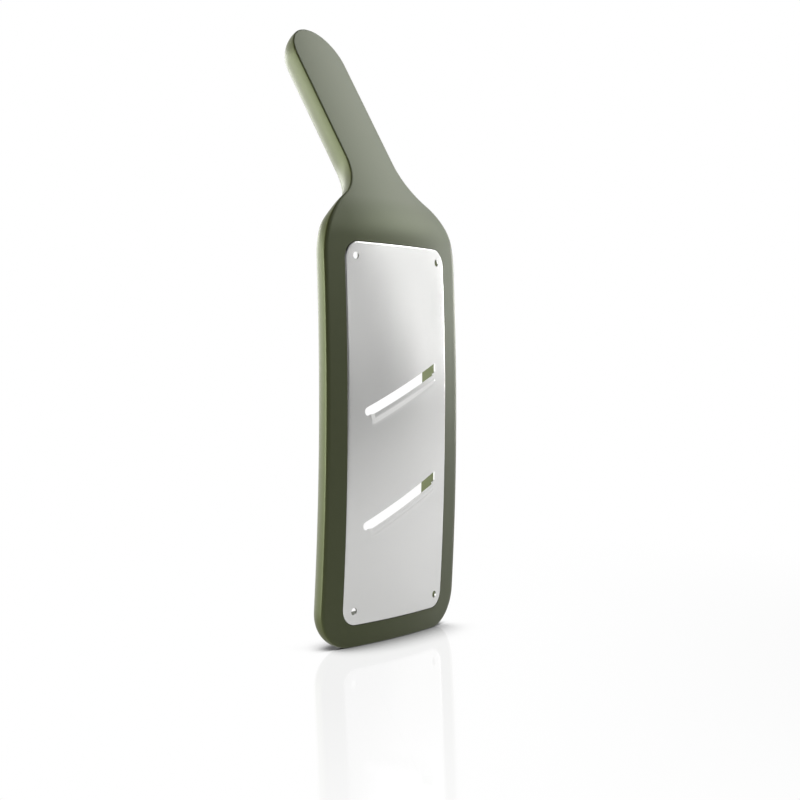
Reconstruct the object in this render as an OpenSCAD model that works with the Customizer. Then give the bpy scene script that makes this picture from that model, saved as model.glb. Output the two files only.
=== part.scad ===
// Hand-held vegetable slicer that stands on its foot, cutting face towards -Y, handle leaning back to +Y.
// Millimetres. X across, Z up, the origin under the middle of the bounding box.
// Shapes are drawn flat, as across the face (x), along the frame from the foot (s) and behind the
// face (e), and place() then bows, crowns and bends them.

/* [Frame] */
// Width across the frame just above its foot corners
foot_w = 111.4; // [104:0.2:122]
// How much narrower the frame is where the shoulders begin
foot_taper = 1.5; // [0:0.1:6]
// Depth from the middle line of the face to the flat of the back
frame_depth = 16.2; // [13:0.1:20]
// Radius of the two foot corners
foot_corner_r = 20; // [16:0.5:24]
// Margin of frame below the plate
foot_margin = 11.1; // [10.6:0.1:18]
// Radius of the small edge round the face
face_edge_r = 0.7; // [0.6:0.1:1.8]
// Width of the rounding from the sides to the back
back_round_w = 12; // [8:0.5:15]
// Radius of the rounding behind the middle of the foot, kept small so that the tool stands by itself
foot_round = 2; // [1.5:0.5:6]
// Width of the foot that has this small rounding, beside which the back is rounded as at the sides
foot_flat_w = 40; // [20:1:50]
// Radius of the bow along the face
bow_r = 1586; // [1200:10:4000]
// Height of the most forward point of the bow above the foot
bow_mid = 124; // [90:1:150]
// Radius of the crown across the face
crown_r = 264; // [200:2:500]
// Width that is crowned, outside which the face runs on straight
crown_w = 76; // [60:1:82]

/* [Shoulders and handle] */
// How far below the plate's top edge the shoulders begin
shoulder_drop = 8.6; // [2:0.2:14]
// Length along the frame from the shoulders' start to the straight handle
neck_len = 59.8; // [52:0.2:72]
// Share of that length taken by the shoulder's arc, the hollow of the neck takes the rest
shoulder_share = 0.59; // [0.4:0.01:0.7]
// Width of the handle
handle_w = 40.1; // [34:0.1:46]
// Straight length of the handle, up to its half-round end
grip_len = 66.6; // [50:0.1:100]
// Angle at which the handle leans back
handle_tilt = 30.5; // [15:0.1:40]
// Radius of the bend from the body to the handle
bend_r = 47.5; // [40:0.5:70]
// How far above the plate's top edge the bend begins
bend_rise = 3.2; // [0:0.2:8]

/* [Plate] */
// Width of the plate's face
plate_w = 83; // [76:0.2:88]
// Length of the plate's face
plate_len = 195; // [170:0.5:220]
// Thickness of the sheet
plate_t = 0.7; // [0.5:0.05:1]
// Radius of the plate's corners
plate_corner_r = 9; // [7:0.2:12]
// Outside radius of the fold round the plate's edge
fold_r = 0.8; // [0.75:0.05:1.4]
// Depth of the folded margin that the frame grips
fold_depth = 3.6; // [2.6:0.1:4.6]
// How far the plate stands proud of the frame's face
plate_proud = 0.15; // [0.05:0.05:0.5]
// Diameter of the four locating holes
hole_d = 3.8; // [3:0.1:4.4]
// Distance from the plate's edges to the holes' centres
hole_inset = 7.35; // [6.8:0.05:9]

/* [Slots and blades] */
// Angle of the slots to the level
slot_angle = 21.2; // [10:0.2:28]
// Distance between the two slots along the plate
slot_pitch = 58.4; // [44:0.2:70]
// Height of the point midway between the slots above the plate's bottom edge
slot_mid = 90.4; // [82:0.2:100]
// Width of a slot from end to end, measured level across the plate
slot_span = 59.6; // [40:0.2:62]
// Opening of a slot, square to its length
slot_gap = 4.4; // [3.5:0.1:6.5]
// How far each blade is pressed forward
blade_lift = 1.4; // [0.8:0.1:2.4]
// Width of the pressed ramp below a blade
ramp_w = 3.6; // [1.8:0.1:4]
// Width of the ground bevel behind the cutting edge
bevel_w = 2; // [1.5:0.1:4]
// Thickness left at the cutting edge
edge_t = 0.15; // [0.1:0.05:0.3]
// Distance from a slot's ends to its blade's ends
blade_inset = 3.5; // [2:0.5:5]
// Width of the slope at each end of a blade
blade_end = 0.8; // [0.6:0.1:5]

/* [Core and cover] */
// Width of the ledge behind the plate's margin
ledge_w = 3.7; // [2.6:0.1:4]
// Corner radius of the opening behind the plate
window_r = 6; // [5:0.2:8]
// Thickness of the soft cover over the core
cover_t = 2.3; // [1.6:0.1:3]
// Clearance between the plate and what holds it
seat_gap = 0.05; // [0.03:0.01:0.1]

/* [Hidden] */
$fn = 64;
deg = 180 / PI;

// Stations along the frame
plate_s0 = foot_margin;
plate_s1 = plate_s0 + plate_len;
shoulder_s = plate_s1 - shoulder_drop;
grip_s = shoulder_s + neck_len;
tip_s = grip_s + grip_len;
bend_s = plate_s1 + bend_rise;
bend_from = (bend_s - bow_mid) / bow_r * deg;
bend_end = bend_s + bend_r * (handle_tilt - bend_from) / deg;

// The shoulder's arc runs straight into the arc of the neck's hollow
shoulder_w = foot_w - foot_taper;
step_in = (shoulder_w - handle_w) / 2;
flank_turn = 2 * atan(step_in / neck_len);
shoulder_r = shoulder_share * neck_len / sin(flank_turn);
neck_r = (1 - shoulder_share) * neck_len / sin(flank_turn);

function mix(a, b, t) = a + (b - a) * t;
function ease(t) = t <= 0 ? 0 : t >= 1 ? 1 : t * t * (3 - 2 * t);

// The face's middle line: [y, z] at the distance s from the foot
function bow_y(s) = bow_r * (1 - cos((s - bow_mid) / bow_r * deg));
function bow_z(s) = bow_r * (sin((s - bow_mid) / bow_r * deg) + sin(bow_mid / bow_r * deg));
function turn(s) = bend_from + (min(s, bend_end) - bend_s) / bend_r * deg;
function bend_y(s) = bow_y(bend_s) + bend_r * (cos(bend_from) - cos(turn(s)));
function bend_z(s) = bow_z(bend_s) + bend_r * (sin(turn(s)) - sin(bend_from));
function spine(s) =
    s <= bend_s ? [bow_y(s), bow_z(s)] :
    s <= bend_end ? [bend_y(s), bend_z(s)] :
    [bend_y(s), bend_z(s)] + (s - bend_end) * [sin(handle_tilt), cos(handle_tilt)];
function lean(s) = handle_tilt * ease((s - bend_s) / (bend_end - bend_s));
function crown(x) =
    let (a = min(abs(x), crown_w / 2), centre = sqrt(crown_r * crown_r - a * a))
    crown_r - centre + (abs(x) - a) * a / centre;
function raw_place(x, s, e) =
    [x, spine(s)[0] + e * cos(lean(s)), spine(s)[1] - e * sin(lean(s))];
function place(x, s, e) = raw_place(x, s, e) - [0, y_mid, 0];

// One solid from a face grid, a back grid of the same size and the loops of points between their rims.
// windows lists the blocks of cells [row, row, column, column] that are open right through.
function flat(rows) = [for (r = rows) each r];
function rim(rows, cols) = concat(
    [for (j = [0:cols]) j],
    [for (i = [1:rows]) i * (cols + 1) + cols],
    [for (j = [cols - 1:-1:0]) rows * (cols + 1) + j],
    [for (i = [rows - 1:-1:1]) i * (cols + 1)]);
function open(i, j, windows) =
    len([for (w = windows) if (i >= w[0] && i < w[1] && j >= w[2] && j < w[3]) 1]) > 0;
function window_rim(w, cols) = concat(
    [for (j = [w[2]:w[3]]) w[0] * (cols + 1) + j],
    [for (i = [w[0] + 1:w[1]]) i * (cols + 1) + w[3]],
    [for (j = [w[3] - 1:-1:w[2]]) w[1] * (cols + 1) + j],
    [for (i = [w[1] - 1:-1:w[0] + 1]) i * (cols + 1) + w[2]]);
function band(low, high) = [for (k = [0:len(low) - 1])
    each let (n = (k + 1) % len(low)) [[low[k], low[n], high[n]], [low[k], high[n], high[k]]]];

module skinned(face, loops, back, windows = []) {
    rows = len(face) - 1;
    cols = len(face[0]) - 1;
    count = (rows + 1) * (cols + 1);
    points = concat(flat(face), flat(back), flat(loops));
    outer = rim(rows, cols);
    rings = concat(
        [outer],
        [for (k = [0:len(loops) - 1]) [for (m = [0:len(outer) - 1]) 2 * count + k * len(outer) + m]],
        [[for (v = outer) v + count]]);
    cells = [for (i = [0:rows - 1]) for (j = [0:cols - 1]) if (!open(i, j, windows)) [i, j]];
    front_faces = [for (c = cells) let (a = c[0] * (cols + 1) + c[1], b = a + cols + 1)
        each [[a, b, a + 1], [b, b + 1, a + 1]]];
    back_faces = [for (f = front_faces) [f[2] + count, f[1] + count, f[0] + count]];
    side_faces = [for (k = [0:len(rings) - 2]) each band(rings[k], rings[k + 1])];
    window_faces = [for (w = windows) let (r = window_rim(w, cols))
        each band([for (v = r) v + count], r)];
    polyhedron(points, concat(front_faces, back_faces, side_faces, window_faces));
}

// Outline of the frame from the foot to the tip: [x, s, outward x, outward s]. fine is for the
// shape that is seen, the coarse one for the core inside it.
tip_turn = 82;
function arc_steps(from, to, n) = [for (k = [0:n]) mix(from, to, k / n)];
function frame_side(fine) =
    let (straight_n = fine ? 10 : 6,
         arc_n = fine ? 7 : 4,
         grip_n = fine ? 4 : 2)
    concat(
        [for (a = arc_steps(-90, 0, arc_n))
            [foot_w / 2 - foot_corner_r + foot_corner_r * cos(a), foot_corner_r + foot_corner_r * sin(a),
                cos(a), sin(a)]],
        [for (k = [1:straight_n])
            [mix(foot_w, shoulder_w, k / straight_n) / 2, mix(foot_corner_r, shoulder_s, k / straight_n),
                1, 0]],
        [for (a = arc_steps(0, flank_turn, arc_n)) if (a > 0)
            [shoulder_w / 2 - shoulder_r + shoulder_r * cos(a), shoulder_s + shoulder_r * sin(a),
                cos(a), sin(a)]],
        [for (a = arc_steps(flank_turn, 0, arc_n)) if (a < flank_turn)
            [handle_w / 2 + neck_r - neck_r * cos(a), grip_s - neck_r * sin(a), cos(a), sin(a)]],
        [for (k = [1:grip_n]) [handle_w / 2, mix(grip_s, tip_s, k / grip_n), 1, 0]],
        [for (a = arc_steps(0, tip_turn, fine ? 8 : 5)) if (a > 0)
            [handle_w / 2 * cos(a), tip_s + handle_w / 2 * sin(a), cos(a), sin(a)]]);
function col(j, cols) = 2 * j / cols - 1;
function around(side, cols) =
    let (n = len(side) - 1, foot = side[0], top = side[n])
    concat(
        [for (j = [0:cols]) [foot[0] * col(j, cols), foot[1], 0, -1]],
        [for (i = [1:n]) side[i]],
        [for (j = [cols - 1:-1:1])
            let (x = top[0] * col(j, cols), u = x / (handle_w / 2)) [x, top[1], u, sqrt(1 - u * u)]],
        [for (i = [n:-1:1]) let (p = side[i]) [-p[0], p[1], -p[2], p[3]]]);

// Section of the bar from its face to its back at one point of the outline: a small fillet, a
// straight land and the rounding to the back, as [distance in from the outline, depth]
side_land = 0.06;
foot_end = foot_w / 2 - foot_corner_r;
function foot_share(p) = max(0, -p[3]) * ease((foot_end - abs(p[0])) / (foot_end - foot_flat_w / 2));
function section(p, inset, fillet_n, round_n) =
    let (r = max(face_edge_r - inset, 0.3),
         wall = crown(p[0]) + inset + r,
         bottom = frame_depth - inset,
         foot = foot_share(p),
         foot_r = max(foot_round - inset, 0.5),
         w = mix(back_round_w - inset, foot_r, foot),
         land = mix(wall + side_land * (bottom - wall), bottom - foot_r, foot))
    concat(
        [for (a = arc_steps(0, 90, fillet_n)) [inset + r * (1 - sin(a)), wall - r * cos(a)]],
        [for (a = arc_steps(0, 90, round_n)) [inset + w * (1 - cos(a)), mix(land, bottom, sin(a))]]);
function rings(outline, inset, fillet_n, round_n) =
    let (sections = [for (p = outline) section(p, inset, fillet_n, round_n)])
    [for (k = [0:fillet_n + round_n + 1]) [for (m = [0:len(outline) - 1])
        let (p = outline[m], d = sections[m][k]) [p[0] - d[0] * p[2], p[1] - d[0] * p[3], d[1]]]];
function ring_place(ring) = [for (q = ring) place(q[0], q[1], q[2])];

// The bottle-shaped bar, set in by inset all over
module bar(inset, fine) {
    cols = fine ? 10 : 6;
    side = frame_side(fine);
    all_rings = rings(around(side, cols), inset, fine ? 3 : 1, fine ? 6 : 4);
    last = len(all_rings) - 1;
    // Row i of a grid ends at the i-th point up the right-hand side of a ring
    face = [for (i = [0:len(side) - 1]) let (q = all_rings[0][cols + i])
        [for (j = [0:cols]) let (x = q[0] * col(j, cols)) place(x, q[1], crown(x) + inset)]];
    back_rim = ring_place(all_rings[last]);
    back = concat(
        [[for (j = [0:cols]) back_rim[j]]],
        [for (i = [1:len(side) - 1]) let (q = all_rings[last][cols + i])
            [for (j = [0:cols]) place(q[0] * col(j, cols), q[1], q[2])]]);
    skinned(face, [for (k = [1:last - 1]) ring_place(all_rings[k])], back);
}

// The opening through the frame behind the plate, a straight-sided hole with round corners
window_w = plate_w - 2 * ledge_w;
window_z0 = bow_z(plate_s0 + ledge_w);
window_z1 = bow_z(plate_s1 - ledge_w);
module rounded(w, l, r) {
    square([w - 2 * r, l], center = true);
    square([w, l - 2 * r], center = true);
    for (sx = [-1, 1])
        for (sy = [-1, 1])
            translate([sx * (w / 2 - r), sy * (l / 2 - r)])
                circle(r = r);
}
module window(grow) {
    through = 8 * frame_depth;
    translate([0, through / 2, (window_z0 + window_z1) / 2])
        rotate([90, 0, 0])
            linear_extrude(height = through)
                rounded(window_w + 2 * grow, window_z1 - window_z0 + 2 * grow, window_r + grow);
}

// Rows of the plate's grid: [middle of the row, end that it rounds, angle round the corner, slant].
// They run level at the ends and along the slots in between.
slot_tan = tan(slot_angle);
slots = [for (k = [-1, 1]) plate_s0 + slot_mid + k * slot_pitch / 2];
half_gap = slot_gap / 2;
blade_low = half_gap + bevel_w + ramp_w;
corner_turns = [for (k = [0:5]) k * 15];
corner_low = plate_s0 + plate_corner_r;
corner_high = plate_s1 - plate_corner_r;
slot_offsets = concat(
    [for (t = [1, 0.75, 0.5, 0.25, 0]) -half_gap - bevel_w - t * ramp_w],
    [-half_gap - bevel_w / 2],
    [for (t = [-1, -0.8, -0.3, 0.3, 0.8, 1]) t * half_gap]);
rows_below = 6;
gap_rows = 5;
function slot_rows(s) = [for (v = slot_offsets) [s + v / cos(slot_angle), 0, 90, 1]];
function rows_between(a, b, slant_a, slant_b, n) = [for (k = [1:n - 1])
    [mix(a, b, k / n), 0, 90, mix(slant_a, slant_b, ease(k / n))]];
lower_rows = slot_rows(slots[0]);
upper_rows = slot_rows(slots[1]);
offsets_n = len(slot_offsets);
level_n = 5;
middle_n = 5;
slotted_rows = concat(
    [for (a = corner_turns) [corner_low, -1, a, 0]],
    [[corner_low, 0, 90, 0]],
    rows_between(corner_low, lower_rows[0][0], 0, 1, level_n),
    lower_rows,
    rows_between(lower_rows[offsets_n - 1][0], upper_rows[0][0], 1, 1, middle_n),
    upper_rows,
    rows_between(upper_rows[offsets_n - 1][0], corner_high, 1, 0, level_n),
    [[corner_high, 0, 90, 0]],
    [for (k = [len(corner_turns) - 1:-1:0]) [corner_high, 1, corner_turns[k], 0]]);
lower_at = len(corner_turns) + level_n;
upper_at = lower_at + offsets_n + middle_n - 1;

// The same outline without the slots, for the room that the plate lies in
plain_n = 14;
plain_rows = concat(
    [for (a = corner_turns) [corner_low, -1, a, 0]],
    [for (k = [0:plain_n]) [mix(corner_low, corner_high, k / plain_n), 0, 90, 0]],
    [for (k = [len(corner_turns) - 1:-1:0]) [corner_high, 1, corner_turns[k], 0]]);

// Columns: some beside each end of a slot, the rest along it and closer together at the blade's ends.
// The left end of a slot is round, the right end is cut upright.
side_cols = 2;
blade_half = slot_span / 2 - blade_inset;
half_columns = [slot_span / 2, slot_span / 2 - blade_inset / 2, blade_half, blade_half - blade_end / 2,
    blade_half - blade_end, (blade_half - blade_end) * 0.66, (blade_half - blade_end) * 0.33];
half_n = len(half_columns);
column_shares = concat(
    [for (a = half_columns) -2 * a / slot_span],
    [0],
    [for (k = [half_n - 1:-1:0]) 2 * half_columns[k] / slot_span]);
along = 2 * half_n;
slotted_cols = 2 * side_cols + along;
plain_cols = 10;

function near_slot(s) = abs(s - slots[0]) < abs(s - slots[1]) ? slots[0] : slots[1];
function across_slot(x, s) =
    let (row_s = s - slot_tan * x) (row_s - near_slot(row_s)) * cos(slot_angle);
function limit(v, low, high) = min(max(v, low), high);
function slot_rounding(v) = (half_gap - sqrt(half_gap * half_gap - v * v)) * cos(slot_angle);
function edge_x(row, inset) = plate_w / 2 - plate_corner_r + (plate_corner_r - inset) * sin(row[2]);
function level_end(row) = min(slot_span / 2, 0.8 * edge_x(row, fold_r));
function left_x(row) =
    let (v = across_slot(0, row[0]),
         slanted = slot_rounding(limit(v, -half_gap, half_gap)) - slot_span / 2
             - limit(v, -blade_low, half_gap) * sin(slot_angle))
    mix(-level_end(row), slanted, row[3]);
function right_x(row) =
    let (v = across_slot(0, row[0]),
         slanted = slot_span / 2 - min(0, max(v, -blade_low) + half_gap) * sin(slot_angle))
    mix(level_end(row), slanted, row[3]);
function slotted_x(row, j, inset) =
    let (e = edge_x(row, inset), a = left_x(row), b = right_x(row))
    j < side_cols ? mix(-e, a, j / side_cols) :
    j > side_cols + along ? mix(b, e, (j - side_cols - along) / side_cols) :
    mix(a, b, (column_shares[j - side_cols] + 1) / 2);

// The plate's outline and the grids within it, each point as [x, s]
function row_x(row, j, inset, slotted) = slotted ? slotted_x(row, j, inset) :
    edge_x(row, inset) * col(j, plain_cols);
function row_s(row, x, inset) =
    row[0] + row[1] * (plate_corner_r - inset) * cos(row[2]) + row[3] * slot_tan * x;
function plate_grid(inset, slotted) = [for (row = slotted ? slotted_rows : plain_rows)
    [for (j = [0:slotted ? slotted_cols : plain_cols])
        let (x = row_x(row, j, inset, slotted)) [x, row_s(row, x, inset)]]];
function plate_ring(inset, slotted) =
    let (rows = slotted ? slotted_rows : plain_rows,
         cols = slotted ? slotted_cols : plain_cols,
         n = len(rows) - 1)
    concat(
        [for (j = [0:cols]) [row_x(rows[0], j, 0, slotted), row_s(rows[0], 0, inset)]],
        [for (i = [1:n]) [edge_x(rows[i], inset), row_s(rows[i], edge_x(rows[i], inset), inset)]],
        [for (j = [cols - 1:-1:0]) [row_x(rows[n], j, 0, slotted), row_s(rows[n], 0, inset)]],
        [for (i = [n - 1:-1:1]) [-edge_x(rows[i], inset), row_s(rows[i], -edge_x(rows[i], inset), inset)]]);
function plate_loop(inset, e, slotted) = [for (q = plate_ring(inset, slotted))
    place(q[0], q[1], crown(q[0]) - plate_proud + e)];

// How far the pressing moves the sheet forward, and what the grinding leaves of its thickness
function blade_share(x, v) =
    ease((blade_half - abs(x + limit(v, -blade_low, half_gap) * sin(slot_angle))) / blade_end);
function rise(x, v) = v > 0 ? 0 : blade_share(x, v) * blade_lift * ease((v + blade_low) / ramp_w);
function ground_off(v) = v > 0 ? 0 : (plate_t - edge_t) * limit(1 + (v + half_gap) / bevel_w, 0, 1);
function thickness(x, v) = plate_t - blade_share(x, v) * ground_off(v);
function sheet_e(x, s) = crown(x) - plate_proud - rise(x, across_slot(x, s));

// The part stands with the middle of its depth over the origin
y_front = min([for (row = plate_grid(fold_r, true)) for (q = row)
    raw_place(q[0], q[1], sheet_e(q[0], q[1]))[1]]);
y_back = max([for (ring = rings(around(frame_side(true), 10), 0, 3, 6)) for (q = ring)
    raw_place(q[0], q[1], q[2])[1]]);
y_mid = (y_front + y_back) / 2;

// The pressed sheet with its folded margin and its two slots
module sheet() {
    face = [for (row = plate_grid(fold_r, true)) [for (q = row)
        place(q[0], q[1], sheet_e(q[0], q[1]))]];
    back = [for (row = plate_grid(plate_t, true)) [for (q = row)
        place(q[0], q[1], sheet_e(q[0], q[1]) + thickness(q[0], across_slot(q[0], q[1])))]];
    fold = [for (a = [30, 60, 90]) plate_loop(fold_r * (1 - sin(a)), fold_r * (1 - cos(a)), true)];
    margin = [for (inset = [0, plate_t]) plate_loop(inset, fold_depth, true)];
    gaps = [for (at = [lower_at, upper_at])
        [at + rows_below, at + rows_below + gap_rows, side_cols, side_cols + along]];
    skinned(face, concat(fold, margin), back, gaps);
}

// Room for the plate in the core and the cover, open to the front
module plate_room() {
    inner = plate_t + seat_gap;
    face = [for (row = plate_grid(-seat_gap, false)) [for (q = row)
        place(q[0], q[1], -2 * frame_depth)]];
    back = [for (row = plate_grid(inner, false)) [for (q = row)
        place(q[0], q[1], crown(q[0]) - plate_proud + inner)]];
    margin = [for (inset = [-seat_gap, inner]) plate_loop(inset, fold_depth + seat_gap, false)];
    skinned(face, margin, back);
}

module core_blank() {
    difference() {
        bar(cover_t, false);
        window(cover_t);
    }
}

// Rigid moulded core, closed in by the cover
module frame_core() {
    color("dimgray")
    difference() {
        core_blank();
        plate_room();
    }
}

// Soft cover moulded over the core
module soft_cover() {
    color([0.42, 0.46, 0.36])
    difference() {
        bar(0, true);
        window(0);
        core_blank();
        plate_room();
    }
}

// Stainless plate with its four locating holes
module slicing_plate() {
    hole_x = plate_w / 2 - hole_inset;
    color("silver")
    difference() {
        sheet();
        for (x = [-hole_x, hole_x])
            for (s = [plate_s0 + hole_inset, plate_s1 - hole_inset])
                translate([x, 4 * frame_depth, bow_z(s)])
                    rotate([90, 0, 0])
                        cylinder(d = hole_d, h = 8 * frame_depth);
    }
}

frame_core();
soft_cover();
slicing_plate();
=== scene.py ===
import math

import bmesh
import bpy
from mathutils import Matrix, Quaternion, Vector


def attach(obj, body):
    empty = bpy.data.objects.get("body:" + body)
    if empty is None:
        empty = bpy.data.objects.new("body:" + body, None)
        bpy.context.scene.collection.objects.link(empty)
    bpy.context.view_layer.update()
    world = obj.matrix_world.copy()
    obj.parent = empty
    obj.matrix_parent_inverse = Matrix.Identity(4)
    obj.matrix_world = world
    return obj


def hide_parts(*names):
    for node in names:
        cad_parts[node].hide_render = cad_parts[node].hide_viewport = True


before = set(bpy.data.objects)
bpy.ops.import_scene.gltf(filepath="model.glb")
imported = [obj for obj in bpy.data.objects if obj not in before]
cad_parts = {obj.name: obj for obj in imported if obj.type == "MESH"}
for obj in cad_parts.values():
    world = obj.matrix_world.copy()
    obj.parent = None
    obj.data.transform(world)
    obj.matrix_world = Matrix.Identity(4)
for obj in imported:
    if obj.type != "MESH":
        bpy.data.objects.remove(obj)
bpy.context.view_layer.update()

# Rigid core. The stiff inside of the frame and handle, moulded in one piece from dark plastic. The
# soft cover closes it in all over, and a groove in its front grips the plate's folded margin.
# Sizes are in millimetres: x across, s along the frame from the foot, e behind its face.
FOOT_W, SHOULDER_W, FRAME_DEPTH = 111.4, 109.9, 16.2
FOOT_CORNER_R, FOOT_MARGIN = 20.0, 11.1
EDGE_R, LEAST_EDGE_R, BACK_ROUND_W, SIDE_LAND = 0.7, 0.3, 12.0, 0.06
FOOT_ROUND, LEAST_FOOT_ROUND, FOOT_FLAT_W = 2.0, 0.5, 40.0
BOW_R, BOW_MID, CROWN_R, CROWN_W = 1586.0, 124.0, 264.0, 76.0
SHOULDER_DROP, NECK_LEN, SHOULDER_SHARE = 8.6, 59.8, 0.59
HANDLE_W, GRIP_LEN, HANDLE_TILT, BEND_R, BEND_RISE = 40.1, 66.6, math.radians(30.5), 47.5, 3.2
PLATE_W, PLATE_LEN, PLATE_T, PLATE_CORNER_R = 83.0, 195.0, 0.7, 9.0
FOLD_R, FOLD_DEPTH, PLATE_PROUD = 0.8, 3.6, 0.15
LEDGE_W, WINDOW_R, WINDOW_CORNER_N, COVER_T, SEAT_GAP = 3.7, 6.0, 12, 2.3, 0.05
CUT_FRONT, CUT_BACK = -90, 60
FRONT_TO_ORIGIN = 36.707  # from the face's most forward line back to the middle of the bounding box
ARC_STEP, TIP_TURN = 1.6, math.radians(84)
SHARP_ANGLE = math.radians(30)

PLATE_LOW = FOOT_MARGIN
PLATE_HIGH = PLATE_LOW + PLATE_LEN
SHOULDER_S = PLATE_HIGH - SHOULDER_DROP
GRIP_S = SHOULDER_S + NECK_LEN
TIP_S = GRIP_S + GRIP_LEN
BEND_S = PLATE_HIGH + BEND_RISE
BEND_FROM = (BEND_S - BOW_MID) / BOW_R
BEND_END = BEND_S + BEND_R * (HANDLE_TILT - BEND_FROM)


def mix(a, b, t):
    """The value a share t of the way from a to b."""
    return a + (b - a) * t


def ease(t):
    """A smooth change from 0 to 1 as t goes from 0 to 1."""
    t = min(max(t, 0.0), 1.0)
    return t * t * (3 - 2 * t)


def steps(a, b, longest):
    """Evenly spaced values from a to b, no further apart than longest."""
    n = max(1, math.ceil(abs(b - a) / longest))
    return [mix(a, b, k / n) for k in range(n + 1)]


def bow_height(s):
    """Height above the foot at the distance s along the bow."""
    return BOW_R * (math.sin((s - BOW_MID) / BOW_R) + math.sin(BOW_MID / BOW_R))


def middle_line(s):
    """y and z of the face's middle line at the distance s from the foot."""
    low = min(s, BEND_S)
    y, z = BOW_R * (1 - math.cos((low - BOW_MID) / BOW_R)), bow_height(low)
    if s > BEND_S:
        turn = BEND_FROM + (min(s, BEND_END) - BEND_S) / BEND_R
        straight = max(0.0, s - BEND_END)
        y += BEND_R * (math.cos(BEND_FROM) - math.cos(turn)) + straight * math.sin(HANDLE_TILT)
        z += BEND_R * (math.sin(turn) - math.sin(BEND_FROM)) + straight * math.cos(HANDLE_TILT)
    return y, z


def crown(x):
    """How far the face lies back at x: round over the crowned width and straight outside it."""
    a = min(abs(x), CROWN_W / 2)
    centre = math.sqrt(CROWN_R ** 2 - a ** 2)
    return CROWN_R - centre + (abs(x) - a) * a / centre


def place(x, s, e):
    """The point at x, s, e, in metres in the part's frame."""
    y, z = middle_line(s)
    lean = HANDLE_TILT * ease((s - BEND_S) / (BEND_END - BEND_S))
    y, z = y + e * math.cos(lean) - FRONT_TO_ORIGIN, z - e * math.sin(lean)
    return Vector((x, y, z)) / 1000


def right_side(step):
    """The frame's outline from the foot up to the tip: x, s, and the direction outwards."""
    flank = 2 * math.atan((SHOULDER_W - HANDLE_W) / 2 / NECK_LEN)
    shoulder_r = SHOULDER_SHARE * NECK_LEN / math.sin(flank)
    neck_r = NECK_LEN / math.sin(flank) - shoulder_r

    def arc(x, s, r, a, b):
        return [(x + r * math.cos(t), s + r * math.sin(t), math.cos(t), math.sin(t))
                for t in steps(a, b, min(step, ARC_STEP) / abs(r))]

    foot = arc(FOOT_W / 2 - FOOT_CORNER_R, FOOT_CORNER_R, FOOT_CORNER_R, -math.pi / 2, 0)
    body = [(mix(FOOT_W, SHOULDER_W, (s - FOOT_CORNER_R) / (SHOULDER_S - FOOT_CORNER_R)) / 2, s, 1, 0)
            for s in steps(FOOT_CORNER_R, SHOULDER_S, step)]
    shoulder = arc(SHOULDER_W / 2 - shoulder_r, SHOULDER_S, shoulder_r, 0, flank)
    neck = [(x, s, -nx, -ns) for x, s, nx, ns in
            arc(HANDLE_W / 2 + neck_r, GRIP_S, neck_r, math.pi + flank, math.pi)]
    grip = [(HANDLE_W / 2, s, 1, 0) for s in steps(GRIP_S, TIP_S, step)]
    tip = arc(0, TIP_S, HANDLE_W / 2, 0, TIP_TURN)
    return foot[:-1] + body[:-1] + shoulder[:-1] + neck[:-1] + grip[:-1] + tip


def share(j, n):
    """Where step j of n lies on a line across, from -1 to 1."""
    return 2 * j / n - 1


def all_round(side, cols):
    """The whole outline, anticlockwise from the foot's left end."""
    n, foot, top = len(side) - 1, side[0], side[-1]
    ring = [(foot[0] * share(j, cols), foot[1], 0, -1) for j in range(cols + 1)]
    ring += side[1:]
    for j in range(cols - 1, 0, -1):
        x = top[0] * share(j, cols)
        u = x / (HANDLE_W / 2)
        ring.append((x, top[1], u, math.sqrt(1 - u * u)))
    return ring + [(-p[0], p[1], -p[2], p[3]) for p in (side[i] for i in range(n, 0, -1))]


def edge_section(p, inset, fillet_n, round_n):
    """From face to back at one point of the outline: distance in from it and depth."""
    r = max(EDGE_R - inset, LEAST_EDGE_R)
    wall = crown(p[0]) + inset + r
    bottom = FRAME_DEPTH - inset
    foot_end = FOOT_W / 2 - FOOT_CORNER_R
    foot = max(0, -p[3]) * ease((foot_end - abs(p[0])) / (foot_end - FOOT_FLAT_W / 2))
    foot_r = max(FOOT_ROUND - inset, LEAST_FOOT_ROUND)
    width = mix(BACK_ROUND_W - inset, foot_r, foot)
    land = mix(wall + SIDE_LAND * (bottom - wall), bottom - foot_r, foot)
    quarter = math.pi / 2
    fillet = [(inset + r * (1 - math.sin(a)), wall - r * math.cos(a))
              for a in steps(0, quarter, quarter / fillet_n)]
    rounding = [(inset + width * (1 - math.cos(a)), mix(land, bottom, math.sin(a)))
                for a in steps(0, quarter, quarter / round_n)]
    return fillet + rounding


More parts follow.
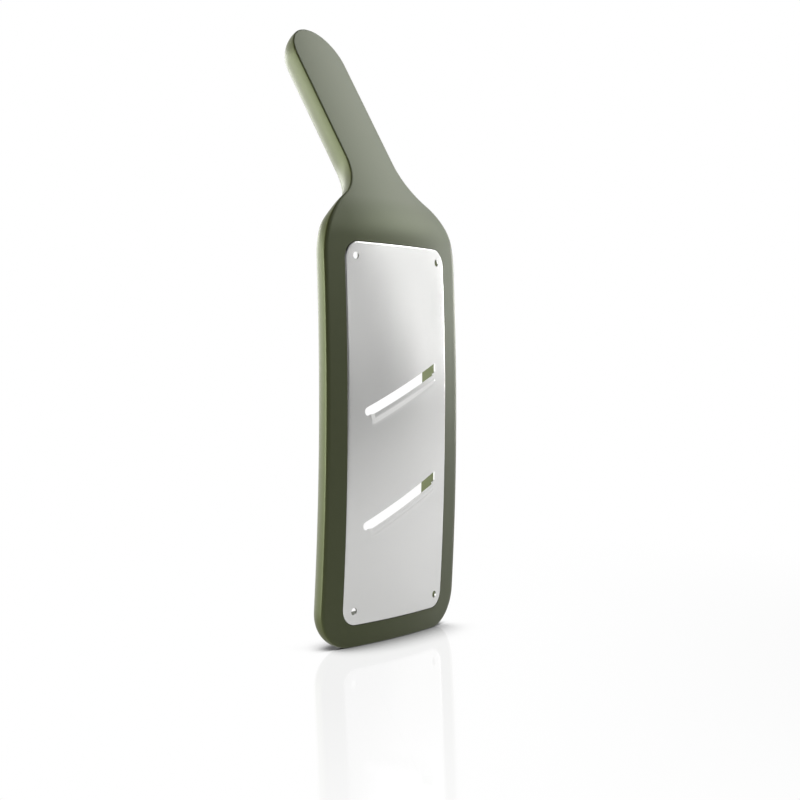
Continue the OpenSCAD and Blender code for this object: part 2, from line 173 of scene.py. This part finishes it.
def skinned(face, loops, back, gaps=()):
    """Points and faces of one closed solid: a face grid, loops of points round its rim, a back grid.

    gaps lists the blocks of cells (row, row, column, column) that are open right through.
    """
    rows, cols = len(face) - 1, len(face[0]) - 1
    count = (rows + 1) * (cols + 1)
    points = [p for row in face for p in row] + [p for row in back for p in row]
    points += [p for loop in loops for p in loop]

    def at(i, j):
        return i * (cols + 1) + j

    rim = [at(0, j) for j in range(cols + 1)] + [at(i, cols) for i in range(1, rows + 1)]
    rim += [at(rows, j) for j in range(cols - 1, -1, -1)] + [at(i, 0) for i in range(rows - 1, 0, -1)]
    rings = [rim] + [[2 * count + k * len(rim) + m for m in range(len(rim))] for k in range(len(loops))]
    rings.append([v + count for v in rim])
    faces = []
    for i in range(rows):
        for j in range(cols):
            if not any(g[0] <= i < g[1] and g[2] <= j < g[3] for g in gaps):
                cell = [at(i, j), at(i, j + 1), at(i + 1, j + 1), at(i + 1, j)]
                faces += [cell, [v + count for v in reversed(cell)]]
    bands = list(zip(rings[1:], rings))
    for r0, r1, c0, c1 in gaps:
        g = [at(r0, j) for j in range(c0, c1 + 1)] + [at(i, c1) for i in range(r0 + 1, r1 + 1)]
        g += [at(r1, j) for j in range(c1 - 1, c0 - 1, -1)] + [at(i, c0) for i in range(r1 - 1, r0, -1)]
        bands.append((g, [v + count for v in g]))
    for a, b in bands:
        n = len(a)
        faces += [[a[k], a[(k + 1) % n], b[(k + 1) % n], b[k]] for k in range(n)]
    return points, faces


def smooth(mesh):
    """Smooth shading over the roundings, with the sharper edges kept."""
    mesh.shade_smooth()
    mesh.set_sharp_from_angle(angle=SHARP_ANGLE)


def solid(name, points, faces):
    """A new object from points and faces, without the points that no face uses."""
    mesh = bpy.data.meshes.new(name)
    mesh.from_pydata(points, [], faces)
    work = bmesh.new()
    work.from_mesh(mesh)
    bmesh.ops.delete(work, geom=[v for v in work.verts if not v.link_faces], context="VERTS")
    bmesh.ops.recalc_face_normals(work, faces=work.faces)
    work.to_mesh(mesh)
    work.free()
    smooth(mesh)
    piece = bpy.data.objects.new(name, mesh)
    bpy.context.collection.objects.link(piece)
    return piece


def cut(piece, tools):
    """Takes the tools out of the piece and deletes them."""
    for tool in tools:
        step = piece.modifiers.new("cut", "BOOLEAN")
        step.operation, step.solver, step.object = "DIFFERENCE", "EXACT", tool
    done = bpy.data.meshes.new_from_object(piece.evaluated_get(bpy.context.evaluated_depsgraph_get()))
    piece.modifiers.clear()
    piece.data = done
    smooth(done)
    for tool in tools:
        bpy.data.objects.remove(tool)
    return piece


def bar(name, inset, step, cols, fillet_n, round_n):
    """The bottle-shaped bar, set in by inset all over.

    cols counts its columns across, fillet_n and round_n the steps of its front and back roundings.
    """
    side = right_side(step)
    ring = all_round(side, cols)
    sections = [edge_section(p, inset, fillet_n, round_n) for p in ring]
    rings = [[(p[0] - d[k][0] * p[2], p[1] - d[k][0] * p[3], d[k][1]) for p, d in zip(ring, sections)]
             for k in range(len(sections[0]))]
    face, back = [], [[place(*q) for q in rings[-1][:cols + 1]]]
    for i in range(len(side)):
        x, s, _ = rings[0][cols + i]
        face.append([place(x * share(j, cols), s, crown(x * share(j, cols)) + inset)
                     for j in range(cols + 1)])
    for x, s, e in rings[-1][cols + 1:cols + len(side)]:
        back.append([place(x * share(j, cols), s, e) for j in range(cols + 1)])
    return solid(name, *skinned(face, [[place(*q) for q in r] for r in rings[1:-1]], back))


def cutter(name, loop):
    """A straight tool for cuts from front to back: a loop of x, z, drawn out past both sides."""
    n = len(loop)
    points = [Vector((x, y, z)) / 1000 for y in (CUT_FRONT, CUT_BACK) for x, z in loop]
    faces = [list(range(n)), list(range(2 * n - 1, n - 1, -1))]
    faces += [[k, n + k, n + (k + 1) % n, (k + 1) % n] for k in range(n)]
    return solid(name, points, faces)


def window(grow):
    """The straight-sided opening behind the plate, grown all round."""
    low, high = bow_height(PLATE_LOW + LEDGE_W) - grow, bow_height(PLATE_HIGH - LEDGE_W) + grow
    half_w, r = PLATE_W / 2 - LEDGE_W + grow, WINDOW_R + grow
    loop = []
    corners = ((half_w - r, low + r), (half_w - r, high - r), (r - half_w, high - r), (r - half_w, low + r))
    for turn, (x, z) in enumerate(corners, start=-1):
        for k in range(WINDOW_CORNER_N + 1):
            a = (turn + k / WINDOW_CORNER_N) * math.pi / 2
            loop.append((x + r * math.cos(a), z + r * math.sin(a)))
    return cutter("opening", loop)


# The plate's outline, and the room that the frame leaves for the plate
CORNER_LOW, CORNER_HIGH = PLATE_LOW + PLATE_CORNER_R, PLATE_HIGH - PLATE_CORNER_R
CORNER_STEP = 6
CORNER_TURNS = [math.radians(turn) for turn in range(0, 90, CORNER_STEP)]


def plain_rows(step):
    """Rows across the plate: middle, end that it rounds, angle round the corner, slant."""
    rows = [(CORNER_LOW, -1, a, 0) for a in CORNER_TURNS]
    rows += [(s, 0, math.pi / 2, 0) for s in steps(CORNER_LOW, CORNER_HIGH, step)]
    return rows + [(CORNER_HIGH, 1, a, 0) for a in reversed(CORNER_TURNS)]


def edge_x(row, inset):
    """How far out the plate's edge lies on a row."""
    return PLATE_W / 2 - PLATE_CORNER_R + (PLATE_CORNER_R - inset) * math.sin(row[2])


def row_s(row, x, inset, slant=0.0):
    """The distance from the foot at x on a row."""
    return row[0] + row[1] * (PLATE_CORNER_R - inset) * math.cos(row[2]) + row[3] * slant * x


def plate_ring(rows, xs_of, inset, slant=0.0):
    """The plate's outline as x, s. xs_of gives the places of the columns on a row."""
    ring = [(x, row_s(rows[0], 0, inset)) for x in xs_of(rows[0], inset)]
    ring += [(edge_x(r, inset), row_s(r, edge_x(r, inset), inset, slant)) for r in rows[1:]]
    ring += [(x, row_s(rows[-1], 0, inset)) for x in reversed(xs_of(rows[-1], inset)[:-1])]
    return ring + [(-edge_x(r, inset), row_s(r, -edge_x(r, inset), inset, slant))
                   for r in reversed(rows[1:-1])]


def plate_room():
    """The hollow that the plate and its folded margin take up, open to the front."""
    rows, cols = plain_rows(step=4), 26

    def xs_of(row, inset):
        return [edge_x(row, inset) * share(j, cols) for j in range(cols + 1)]

    inner = PLATE_T + SEAT_GAP
    face = [[place(x, row_s(r, x, -SEAT_GAP), -2 * FRAME_DEPTH) for x in xs_of(r, -SEAT_GAP)] for r in rows]
    back = [[place(x, row_s(r, x, inner), crown(x) - PLATE_PROUD + inner) for x in xs_of(r, inner)]
            for r in rows]
    margin = [[place(x, s, crown(x) - PLATE_PROUD + FOLD_DEPTH + SEAT_GAP)
               for x, s in plate_ring(rows, xs_of, inset)] for inset in (-SEAT_GAP, inner)]
    return solid("room", *skinned(face, margin, back))


def core_blank(name):
    """The core as it is before the plate's groove is cut."""
    return cut(bar(name, COVER_T, step=4, cols=24, fillet_n=1, round_n=8), [window(COVER_T)])


def finish_nodes(name):
    """A new material with its shader, ready for the section's own nodes."""
    material = bpy.data.materials.new(name)
    material.use_nodes = True
    return material, material.node_tree.nodes, material.node_tree.links.new


core = cut(core_blank("core"), [plate_room()])
core_plastic, nodes, link = finish_nodes("core plastic")
shader = nodes["Principled BSDF"]
shader.inputs["Roughness"].default_value = 0.6
where = nodes.new("ShaderNodeTexCoord")
flow = nodes.new("ShaderNodeTexNoise")
flow.inputs["Scale"].default_value = 60
tint = nodes.new("ShaderNodeMapRange")
shade = nodes.new("ShaderNodeMixRGB")
shade.inputs["Color1"].default_value = (0.015, 0.016, 0.014, 1)
shade.inputs["Color2"].default_value = (0.026, 0.028, 0.024, 1)
link(where.outputs["Object"], flow.inputs["Vector"])
link(flow.outputs["Fac"], tint.inputs["Value"])
link(tint.outputs["Result"], shade.inputs["Fac"])
link(shade.outputs["Color"], shader.inputs["Base Color"])
core.data.materials.append(core_plastic)
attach(core, "root")
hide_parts("frame_core")

# Soft cover. Olive-green soft-touch rubber, moulded over the whole core and round the plate, with a
# crisp little edge round the front and wide roundings to the back. Its surface is a fine satin.
cover_blank = bar("cover", 0, step=2.5, cols=48, fillet_n=6, round_n=20)
cover = cut(cover_blank, [window(0), core_blank("core shape"), plate_room()])
soft_rubber, nodes, link = finish_nodes("soft cover")
shader = nodes["Principled BSDF"]
shader.inputs["Roughness"].default_value = 0.45
shader.inputs["IOR"].default_value = 1.53
shader.inputs["Specular Tint"].default_value = (0.86, 1, 0.6, 1)
where = nodes.new("ShaderNodeTexCoord")
mottle = nodes.new("ShaderNodeTexNoise")
mottle.inputs["Scale"].default_value = 55
mottle.inputs["Detail"].default_value = 4
shade = nodes.new("ShaderNodeMixRGB")
shade.inputs["Color1"].default_value = (0.0275, 0.0300, 0.0095, 1)
shade.inputs["Color2"].default_value = (0.0315, 0.0345, 0.0110, 1)
grain = nodes.new("ShaderNodeTexNoise")
grain.inputs["Scale"].default_value = 2600
grain.inputs["Detail"].default_value = 2
bump = nodes.new("ShaderNodeBump")
bump.inputs["Strength"].default_value = 0.12
bump.inputs["Distance"].default_value = 0.0001
link(where.outputs["Object"], mottle.inputs["Vector"])
link(where.outputs["Object"], grain.inputs["Vector"])
link(mottle.outputs["Fac"], shade.inputs["Fac"])
link(shade.outputs["Color"], shader.inputs["Base Color"])
link(grain.outputs["Fac"], bump.inputs["Height"])
link(bump.outputs["Normal"], shader.inputs["Normal"])
cover.data.materials.append(soft_rubber)
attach(cover, "root")
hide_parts("soft_cover")

# Slicing plate. One stainless sheet, bowed and crowned, its margin folded back into the frame. Below
# each slanting slot the sheet is pressed forward and ground from behind to a cutting edge. Four holes
# near the corners located it in the press.
SLOT_ANGLE, SLOT_PITCH, SLOT_MID, SLOT_SPAN, SLOT_GAP = math.radians(21.2), 58.4, 90.4, 59.6, 4.4
BLADE_LIFT, RAMP_W, BEVEL_W, EDGE_T, BLADE_INSET, BLADE_END = 1.4, 3.6, 2.0, 0.15, 3.5, 0.8
HOLE_D, HOLE_SIDES, HOLE_INSET = 3.8, 48, 7.35
ROW_STEP, RAMP_ROWS, BEVEL_ROWS, GAP_TURN = 1.6, 10, 4, 15
BESIDE_N, INSET_N, END_N, COLUMN_STEP, LEVEL_SHARE = 8, 3, 5, 2.0, 0.8

SLANT = math.tan(SLOT_ANGLE)
HALF_GAP = SLOT_GAP / 2
BLADE_LOW = HALF_GAP + BEVEL_W + RAMP_W
BLADE_HALF = SLOT_SPAN / 2 - BLADE_INSET
slot_places = [PLATE_LOW + SLOT_MID + k * SLOT_PITCH / 2 for k in (-1, 1)]

# Rows along a slot, square to it: up the blade's ramp and its ground bevel, then over the open gap
below = [-HALF_GAP - BEVEL_W - RAMP_W * k / RAMP_ROWS for k in range(RAMP_ROWS, 0, -1)]
below += [-HALF_GAP - BEVEL_W * k / BEVEL_ROWS for k in range(BEVEL_ROWS, 0, -1)]
in_gap = [HALF_GAP * math.sin(math.radians(a)) for a in range(-90, 91, GAP_TURN)]
offsets = below + in_gap


def slot_rows(s):
    """The rows of one slot and its blade, all slanting with it."""
    return [(s + v / math.cos(SLOT_ANGLE), 0, math.pi / 2, 1) for v in offsets]


def rows_between(a, b, slant_a, slant_b):
    """The rows between two others, turning from one slant to the other."""
    places = steps(a, b, ROW_STEP)
    n = len(places) - 1
    return [(s, 0, math.pi / 2, mix(slant_a, slant_b, ease(k / n))) for k, s in enumerate(places)][1:-1]


lower_rows, upper_rows = slot_rows(slot_places[0]), slot_rows(slot_places[1])
rows = [(CORNER_LOW, -1, a, 0) for a in CORNER_TURNS] + [(CORNER_LOW, 0, math.pi / 2, 0)]
rows += rows_between(CORNER_LOW, lower_rows[0][0], 0, 1)
lower_at = len(rows)
rows += lower_rows + rows_between(lower_rows[-1][0], upper_rows[0][0], 1, 1)
upper_at = len(rows)
rows += upper_rows + rows_between(upper_rows[-1][0], CORNER_HIGH, 1, 0)
rows += [(CORNER_HIGH, 0, math.pi / 2, 0)] + [(CORNER_HIGH, 1, a, 0) for a in reversed(CORNER_TURNS)]

# Columns across a slot: from its end to the blade's end, over the blade's end, then evenly inwards
half_columns = [SLOT_SPAN / 2 - BLADE_INSET * k / INSET_N for k in range(INSET_N)]
half_columns += [BLADE_HALF - BLADE_END * k / END_N for k in range(END_N)]
half_columns += steps(BLADE_HALF - BLADE_END, 0, COLUMN_STEP)
column_shares = [-2 * a / SLOT_SPAN for a in half_columns]
column_shares += [-a for a in reversed(column_shares[:-1])]


def across_slot(x, s):
    """How far above the nearer slot's middle line the point lies, square to the slot."""
    s -= SLANT * x
    nearer = min(slot_places, key=lambda place: abs(s - place))
    return (s - nearer) * math.cos(SLOT_ANGLE)


def columns(row, inset):
    """Places across the plate on one row: even beside the slot, closer at the blade's ends."""
    v = across_slot(0, row[0])
    in_slot = min(max(v, -HALF_GAP), HALF_GAP)
    rounding = (HALF_GAP - math.sqrt(HALF_GAP ** 2 - in_slot ** 2)) * math.cos(SLOT_ANGLE)
    left_end = rounding - SLOT_SPAN / 2 - min(max(v, -BLADE_LOW), HALF_GAP) * math.sin(SLOT_ANGLE)
    right_end = SLOT_SPAN / 2 - min(max(v, -BLADE_LOW) + HALF_GAP, 0) * math.sin(SLOT_ANGLE)
    edge = edge_x(row, inset)
    level = min(SLOT_SPAN / 2, LEVEL_SHARE * edge_x(row, FOLD_R))
    a, b = mix(-level, left_end, row[3]), mix(level, right_end, row[3])
    xs = [mix(-edge, a, j / BESIDE_N) for j in range(BESIDE_N)]
    xs += [mix(a, b, (c + 1) / 2) for c in column_shares]
    return xs + [mix(b, edge, j / BESIDE_N) for j in range(1, BESIDE_N + 1)]


def blade_share(x, v):
    """How much of the blade's lift there is at x: all of it but for its two ends."""
    reach = abs(x + min(max(v, -BLADE_LOW), HALF_GAP) * math.sin(SLOT_ANGLE))
    return ease((BLADE_HALF - reach) / BLADE_END)


def sheet_front(x, s):
    """Depth of the sheet's front, which is pressed forward on a blade."""
    v = across_slot(x, s)
    rise = 0 if v > 0 else blade_share(x, v) * BLADE_LIFT * ease((v + BLADE_LOW) / RAMP_W)
    return crown(x) - PLATE_PROUD - rise


def thickness(x, s):
    """Thickness of the sheet, which is ground away behind the cutting edge."""
    v = across_slot(x, s)
    ground = 0 if v > 0 else (PLATE_T - EDGE_T) * min(max(1 + (v + HALF_GAP) / BEVEL_W, 0), 1)
    return PLATE_T - blade_share(x, v) * ground


def on_rows(inset, depth):
    """The grid of points on one side of the sheet."""
    grid = []
    for row in rows:
        places = [(x, row_s(row, x, inset, SLANT)) for x in columns(row, inset)]
        grid.append([place(x, s, depth(x, s)) for x, s in places])
    return grid


def fold_loop(inset, depth):
    """One loop of points round the folded margin."""
    return [place(x, s, crown(x) - PLATE_PROUD + depth) for x, s in plate_ring(rows, columns, inset, SLANT)]


sheet_face = on_rows(FOLD_R, sheet_front)
sheet_back = on_rows(PLATE_T, lambda x, s: sheet_front(x, s) + thickness(x, s))
fold = [fold_loop(FOLD_R * (1 - math.sin(a)), FOLD_R * (1 - math.cos(a)))
        for a in (math.radians(15 * k) for k in range(1, 7))]
fold += [fold_loop(0, FOLD_DEPTH), fold_loop(PLATE_T, FOLD_DEPTH)]
gap_starts = [first + len(below) for first in (lower_at, upper_at)]
gaps = [(start, start + len(in_gap) - 1, BESIDE_N, BESIDE_N + len(column_shares) - 1)
        for start in gap_starts]
plate = solid("plate", *skinned(sheet_face, fold, sheet_back, gaps))


def pin(x, s):
    """The round tool that cuts one locating hole."""
    turns = [2 * math.pi * k / HOLE_SIDES for k in range(HOLE_SIDES)]
    r, z = HOLE_D / 2, bow_height(s)
    return cutter("pin", [(x + r * math.cos(a), z + r * math.sin(a)) for a in turns])


hole_x = PLATE_W / 2 - HOLE_INSET
hole_places = (PLATE_LOW + HOLE_INSET, PLATE_HIGH - HOLE_INSET)
cut(plate, [pin(x, s) for x in (-hole_x, hole_x) for s in hole_places])
satin_steel, nodes, link = finish_nodes("satin stainless")
shader = nodes["Principled BSDF"]
shader.inputs["Metallic"].default_value = 1
where = nodes.new("ShaderNodeTexCoord")
stretch = nodes.new("ShaderNodeMapping")
stretch.inputs["Scale"].default_value = (60, 60, 4000)
brushing = nodes.new("ShaderNodeTexNoise")
brushing.inputs["Scale"].default_value = 1
brushing.inputs["Detail"].default_value = 3
tone = nodes.new("ShaderNodeMixRGB")
tone.inputs["Color1"].default_value = (0.615, 0.615, 0.605, 1)
tone.inputs["Color2"].default_value = (0.625, 0.625, 0.615, 1)
rough = nodes.new("ShaderNodeMapRange")
rough.inputs["To Min"].default_value = 0.255
rough.inputs["To Max"].default_value = 0.27
bump = nodes.new("ShaderNodeBump")
bump.inputs["Strength"].default_value = 0.0005
bump.inputs["Distance"].default_value = 0.00005
link(where.outputs["Object"], stretch.inputs["Vector"])
link(stretch.outputs["Vector"], brushing.inputs["Vector"])
link(brushing.outputs["Fac"], tone.inputs["Fac"])
link(brushing.outputs["Fac"], rough.inputs["Value"])
link(brushing.outputs["Fac"], bump.inputs["Height"])
link(tone.outputs["Color"], shader.inputs["Base Color"])
link(rough.outputs["Result"], shader.inputs["Roughness"])
link(bump.outputs["Normal"], shader.inputs["Normal"])
plate.data.materials.append(satin_steel)
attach(plate, "root")
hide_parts("slicing_plate")

# Floor. A white, faintly polished table top. Seen by the camera it is as white as the studio, but for
# the painted contact shadow where the foot touches it and the slicer's faint mirror image. Seen in the
# plate and the cover it is a table under the lamps with a painted glow on it, brighter behind to the
# left and faintly all round near the slicer. Lengths are in metres.
FLOOR_HALF = 9
# Painted contact shadow: how far the occlusion reaches, and the occlusion at which it is black and at which
# it is clear
PAINTED_SHADOW_REACH, PAINTED_SHADOW_DARK, PAINTED_SHADOW_CLEAR = 0.045, 0.33, 0.82
MIRROR_SHARE, MIRROR_FROM, MIRROR_TO = 0.12, 0.12, 0.5
# Painted reflection: the floor's glow for the plate and the cover, brighter behind to the left, and a fainter
# pool within half a metre of the slicer
BEHIND_AZIMUTH, BEHIND_EDGE, BEHIND_FULL = 140, 0.1, 0.6
BEHIND_FROM, BEHIND_TO = 0.02, 0.12
PAINTED_GLOW_LEVEL, PAINTED_GLOW_FROM, PAINTED_GLOW_TO = 0.32, 0.5, 0.7
floor_mesh = bpy.data.meshes.new("floor")
floor_corners = [(x * FLOOR_HALF, y * FLOOR_HALF, 0) for x, y in ((-1, -1), (1, -1), (1, 1), (-1, 1))]
floor_mesh.from_pydata(floor_corners, [], [(0, 1, 2, 3)])
floor = bpy.data.objects.new("floor", floor_mesh)
bpy.context.collection.objects.link(floor)
white_top, nodes, link = finish_nodes("white table")
shader = nodes["Principled BSDF"]
shader.inputs["Base Color"].default_value = (0.85, 0.85, 0.85, 1)
shader.inputs["Roughness"].default_value = 0.6
shader.inputs["Specular IOR Level"].default_value = 0
where = nodes.new("ShaderNodeTexCoord")
seen = nodes.new("ShaderNodeLightPath")


def maths(operation, *values):
    """A maths node in the material at hand, its inputs linked to sockets or set to numbers."""
    node = nodes.new("ShaderNodeMath")
    node.operation = operation
    for socket, value in zip(node.inputs, values):
        if isinstance(value, (int, float)):
            socket.default_value = value
        else:
            link(value, socket)
    return node.outputs[0]


def fade(value, low, high, from_level=0.0, to_level=1.0):
    """A smooth change of level as the value goes from low to high."""
    node = nodes.new("ShaderNodeMapRange")
    node.interpolation_type = "SMOOTHSTEP"
    node.inputs["From Min"].default_value, node.inputs["From Max"].default_value = low, high
    node.inputs["To Min"].default_value, node.inputs["To Max"].default_value = from_level, to_level
    link(value, node.inputs["Value"])
    return node.outputs["Result"]


away = nodes.new("ShaderNodeVectorMath")
away.operation = "LENGTH"
link(where.outputs["Object"], away.inputs[0])
from_foot = away.outputs["Value"]
outwards = nodes.new("ShaderNodeVectorMath")
outwards.operation = "NORMALIZE"
link(where.outputs["Object"], outwards.inputs[0])


def towards(direction, azimuth):
    """How far a direction points to an azimuth, from -1 to 1."""
    dot = nodes.new("ShaderNodeVectorMath")
    dot.operation = "DOT_PRODUCT"
    dot.inputs[1].default_value = (math.cos(math.radians(azimuth)), math.sin(math.radians(azimuth)), 0)
    link(direction, dot.inputs[0])
    return dot.outputs["Value"]


# Painted reflection: the floor glows for glossy and transmission rays only, behind to the left and faintly
# all round near the slicer
this_side = towards(outwards.outputs["Vector"], BEHIND_AZIMUTH)
behind = maths("MULTIPLY", fade(this_side, BEHIND_EDGE, BEHIND_FULL), fade(from_foot, BEHIND_FROM, BEHIND_TO))
painted_glow_near = fade(from_foot, PAINTED_GLOW_FROM, PAINTED_GLOW_TO, PAINTED_GLOW_LEVEL, 0.0)
mirrored = maths("ADD", seen.outputs["Is Glossy Ray"], seen.outputs["Is Transmission Ray"])
painted_glow = nodes.new("ShaderNodeEmission")
link(maths("MULTIPLY", maths("MAXIMUM", behind, painted_glow_near), mirrored), painted_glow.inputs["Strength"])
# The floor under the lamps, with the painted glow added to it
lit_and_painted_glow = nodes.new("ShaderNodeAddShader")
link(shader.outputs["BSDF"], lit_and_painted_glow.inputs[0])
link(painted_glow.outputs["Emission"], lit_and_painted_glow.inputs[1])
# Painted contact shadow: for the camera the floor's white glow is darkened by ambient occlusion near the foot
painted_contact_shadow = nodes.new("ShaderNodeAmbientOcclusion")
painted_contact_shadow.samples = 16
painted_contact_shadow.inputs["Distance"].default_value = PAINTED_SHADOW_REACH
white = nodes.new("ShaderNodeEmission")
link(fade(painted_contact_shadow.outputs["AO"], PAINTED_SHADOW_DARK, PAINTED_SHADOW_CLEAR), white.inputs["Strength"])
mirror = nodes.new("ShaderNodeBsdfGlossy")
mirror.inputs["Color"].default_value = (1, 1, 1, 1)
mirror.inputs["Roughness"].default_value = 0.08
polished = nodes.new("ShaderNodeMixShader")
link(fade(from_foot, MIRROR_FROM, MIRROR_TO, MIRROR_SHARE, 0.0), polished.inputs["Fac"])
link(white.outputs["Emission"], polished.inputs[1])
link(mirror.outputs["BSDF"], polished.inputs[2])
both = nodes.new("ShaderNodeMixShader")
link(seen.outputs["Is Camera Ray"], both.inputs["Fac"])
link(lit_and_painted_glow.outputs["Shader"], both.inputs[1])
link(polished.outputs["Shader"], both.inputs[2])
link(both.outputs["Shader"], nodes["Material Output"].inputs["Surface"])
white_top.cycles.emission_sampling = "NONE"
floor_mesh.materials.append(white_top)

# Camera, as the photograph was taken: the slicer turned 52 degrees, seen from just below mid-height.
EYE = Vector((-0.5729, -0.4781, 0.1419))
VIEW_TURN, VIEW_DIP, VIEW_ROLL = math.radians(52.237), math.radians(1.329), math.radians(-0.08)
LENS, FILM_W = 62.37, 36
eye = bpy.data.cameras.new("camera")
eye.lens, eye.sensor_width = LENS, FILM_W
camera = bpy.data.objects.new("camera", eye)
camera.location = EYE
ahead = Vector((math.sin(VIEW_TURN) * math.cos(VIEW_DIP), math.cos(VIEW_TURN) * math.cos(VIEW_DIP),
                -math.sin(VIEW_DIP)))
camera.rotation_euler = (ahead.to_track_quat("-Z", "Y") @ Quaternion((0, 0, 1), VIEW_ROLL)).to_euler()
bpy.context.collection.objects.link(camera)
bpy.context.scene.camera = camera

# Light. A white studio with soft boxes all round, each one aimed at the slicer: thin ones low in front
# and broad ones above them, which the plate and the handle mirror, and some behind and to the left,
# which light the sides and the back.
AIM, TABLE_GAP = Vector((0, 0, 0.14)), 0.01


def softboxes(height, distance, wide, high, watts_at):
    """A row of soft boxes at one height, in degrees, with the watts at each azimuth."""
    for azimuth, watts in watts_at.items():
        turn, rise = math.radians(azimuth), math.radians(height)
        bulb = bpy.data.lights.new("softbox", "AREA")
        bulb.shape, bulb.size, bulb.size_y, bulb.energy = "RECTANGLE", wide, high, watts
        softbox = bpy.data.objects.new("softbox", bulb)
        out = distance * math.cos(rise)
        spot = AIM + Vector((out * math.cos(turn), out * math.sin(turn), distance * math.sin(rise)))
        spot.z = max(spot.z, high / 2 * math.cos(rise) + TABLE_GAP)
        softbox.location = spot
        softbox.rotation_euler = (AIM - spot).to_track_quat("-Z", "Y").to_euler()
        bpy.context.collection.objects.link(softbox)


# Low in front, mirrored in the plate and brightest on its right
softboxes(1.6, 2.2, 0.35, 0.19, {-56: 0.2, -47: 0.1, -38: 0.15, -29: 0.35, -20: 0.25, -2: 3.8})
softboxes(6.2, 2.2, 0.35, 0.16, {-65: 0.5, -56: 0.1, -47: 0.15, -38: 0.3, -29: 0.25, -11: 0.3, -2: 5.6})
softboxes(12, 2.2, 0.7, 0.3, {-52: 0.4, -34: 0.4, -16: 0.9, 2: 1.0})
# Higher in front, mirrored in the handle, the neck and the plate's upper half
softboxes(22, 2.2, 1.1, 0.45, {-35: 14, -5: 2.2})
softboxes(31, 2.1, 0.7, 0.4, {-30: 2.5})
softboxes(42, 2.0, 1.2, 0.8, {-60: 0.35, -15: 14.5})
# Behind, for the handle's side and the back
softboxes(10, 2.0, 0.85, 0.7, {75: 11, 100: 7.5, 125: 18})
# To the left, low for the frame's side, and weak in front of it for the dark border
softboxes(2, 2.0, 0.7, 0.2, {172: 60})
softboxes(15, 2.0, 1.2, 1.0, {-130: 1.5})

# Studio. The white room round the table, as the camera sees it. The plate and the cover mirror its
# white only behind the slicer. In front of it the room is dark, so that they mirror the soft boxes.
ROOM_AZIMUTH, ROOM_EDGE, ROOM_FULL = 90, 0.0, 0.6
room = bpy.data.worlds.new("studio")
bpy.context.scene.world = room
room.use_nodes = True
room.cycles.sampling_method = "NONE"
nodes, link = room.node_tree.nodes, room.node_tree.links.new
where = nodes.new("ShaderNodeTexCoord")
seen = nodes.new("ShaderNodeLightPath")
mirrored = maths("ADD", seen.outputs["Is Glossy Ray"], seen.outputs["Is Transmission Ray"])
behind = fade(towards(where.outputs["Generated"], ROOM_AZIMUTH), ROOM_EDGE, ROOM_FULL)
white = maths("MAXIMUM", maths("MULTIPLY", behind, mirrored), seen.outputs["Is Camera Ray"])
link(white, nodes["Background"].inputs["Strength"])
nodes["Background"].inputs["Color"].default_value = (1, 1, 1, 1)
bpy.context.scene.view_settings.view_transform = "Standard"
